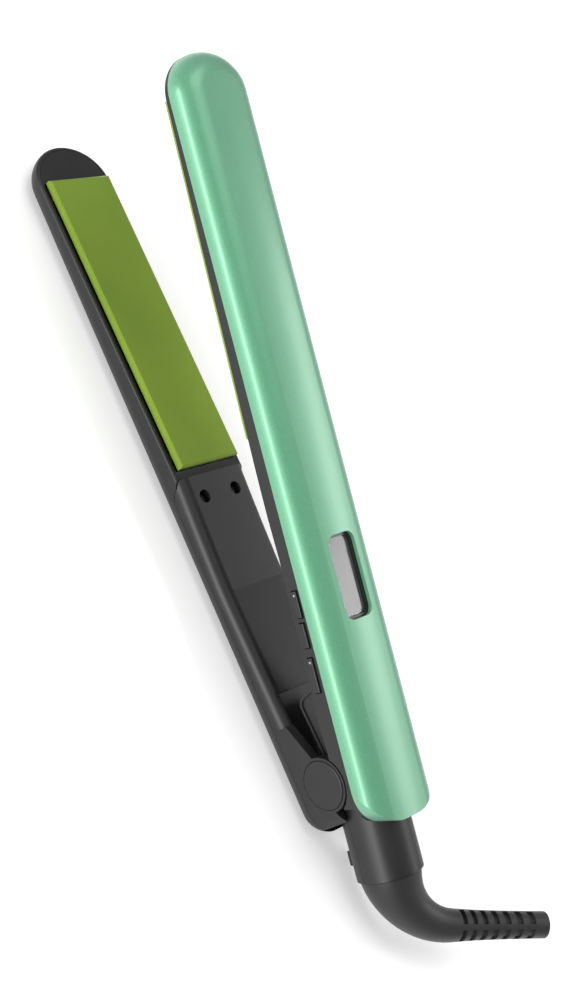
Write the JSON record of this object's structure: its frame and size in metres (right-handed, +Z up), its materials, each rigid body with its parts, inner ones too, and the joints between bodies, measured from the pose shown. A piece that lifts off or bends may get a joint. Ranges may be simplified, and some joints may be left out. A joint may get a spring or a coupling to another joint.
{
  "type": "flat iron",
  "caption": "Hair straightener: two hinged arms with sprung heated plates, side keys, a small display window and a swivelling cord sleeve.",
  "frame": {"origin": "On the plane that the lower arm lies on, straight under the hinge axis, at mid width.", "axes": "+X from the hinge to the tips, +Y to the side with the keys, +Z up from the lower arm to the upper arm."},
  "size_m": [0.2875, 0.0593, 0.0816],
  "materials": {
    "black_shell": "fine moulded texture",
    "surround_black": "fine moulded texture",
    "green_paint": "pearl paint over moulded plastic",
    "lime_plate": "satin ceramic coating",
    "steel": "bright",
    "spring_steel": "bright",
    "brass": "turned",
    "heater_ceramic": "matt",
    "mica": "matt sheet",
    "bezel": "satin",
    "window": "smoked",
    "display_glass": "polarising film",
    "circuit_board": "solder mask",
    "component": "moulded",
    "button_black": "satin",
    "sleeve_rubber": "matt",
    "wire_insulation": "silicone"
  },
  "bodies": {
    "lower_arm": {"lower_cover": "black_shell", "lower_handle_cover": "black_shell", "lower_plate_surround": "surround_black", "lower_heat_shield": "mica", "lower_plate_springs": "spring_steel", "lower_screws": "steel", "pivot_cap_left": "black_shell", "pivot_cap_right": "black_shell", "hinge_pin": "steel", "hinge_spring": "spring_steel", "lower_heater_wires": "wire_insulation"},
    "upper_arm": {"board_parts": "component", "board_screws": "steel", "control_board": "circuit_board", "display_frame": "bezel", "display_module": "display_glass", "display_window": "window", "hinge_bushings": "brass", "slip_contacts": "brass", "switch_board": "circuit_board", "tact_switches": "component", "tail_under_cover": "black_shell", "upper_cover": "green_paint", "upper_heat_shield": "mica", "upper_heater_wires": "wire_insulation", "upper_housing": "black_shell", "upper_plate_springs": "spring_steel", "upper_plate_surround": "surround_black", "upper_screws": "steel"},
    "lower_plate_body": {"lower_plate": "lime_plate", "lower_heater": "heater_ceramic", "lower_heater_clamp": "spring_steel"},
    "upper_plate_body": {"upper_plate": "lime_plate", "upper_heater": "heater_ceramic", "upper_heater_clamp": "spring_steel", "thermal_fuse": "steel"},
    "power_key": {"power_button": "button_black"},
    "plus_key": {"plus_button": "button_black"},
    "minus_key": {"minus_button": "button_black"},
    "lock": {"lock_slider": "button_black"},
    "cord_sleeve": {"cord_boot": "sleeve_rubber", "swivel_hub": "button_black"}
  },
  "joints": [
    {"name": "arm_hinge", "type": "hinge", "parent": "lower_arm", "child": "upper_arm", "pos_m": [0, 0, 0.017], "axis": [0, -1, 0], "range_deg": [-16, 0], "stiffness_Nm_per_rad": 1, "springref_deg": 28.65},
    {"name": "lower_plate_float", "type": "slide", "parent": "lower_arm", "child": "lower_plate_body", "axis": [-0.0279, 0, -0.9996], "range_m": [0, 0.0008], "stiffness_N_per_m": 3000, "springref_m": -0.0005, "deforming": ["lower_plate_springs"]},
    {"name": "upper_plate_float", "type": "slide", "parent": "upper_arm", "child": "upper_plate_body", "axis": [-0.2487, 0, 0.9686], "range_m": [0, 0.0008], "stiffness_N_per_m": 3000, "springref_m": -0.0005, "deforming": ["upper_plate_springs"]},
    {"name": "power_press", "type": "slide", "parent": "upper_arm", "child": "power_key", "axis": [0, -1, 0], "range_m": [0, 0.0005], "stiffness_N_per_m": 600, "springref_m": -0.0005},
    {"name": "plus_press", "type": "slide", "parent": "upper_arm", "child": "plus_key", "axis": [0, -1, 0], "range_m": [0, 0.0005], "stiffness_N_per_m": 600, "springref_m": -0.0005},
    {"name": "minus_press", "type": "slide", "parent": "upper_arm", "child": "minus_key", "axis": [0, -1, 0], "range_m": [0, 0.0005], "stiffness_N_per_m": 600, "springref_m": -0.0005},
    {"name": "lock_slide", "type": "slide", "parent": "upper_arm", "child": "lock", "axis": [0.9751, 0, 0.2215], "range_m": [0, 0.003]},
    {"name": "cord_swivel", "type": "hinge", "parent": "upper_arm", "child": "cord_sleeve", "pos_m": [-0.03181, 0, 0.01347], "axis": [0.9751, 0, 0.2215], "continuous": true}
  ]
}
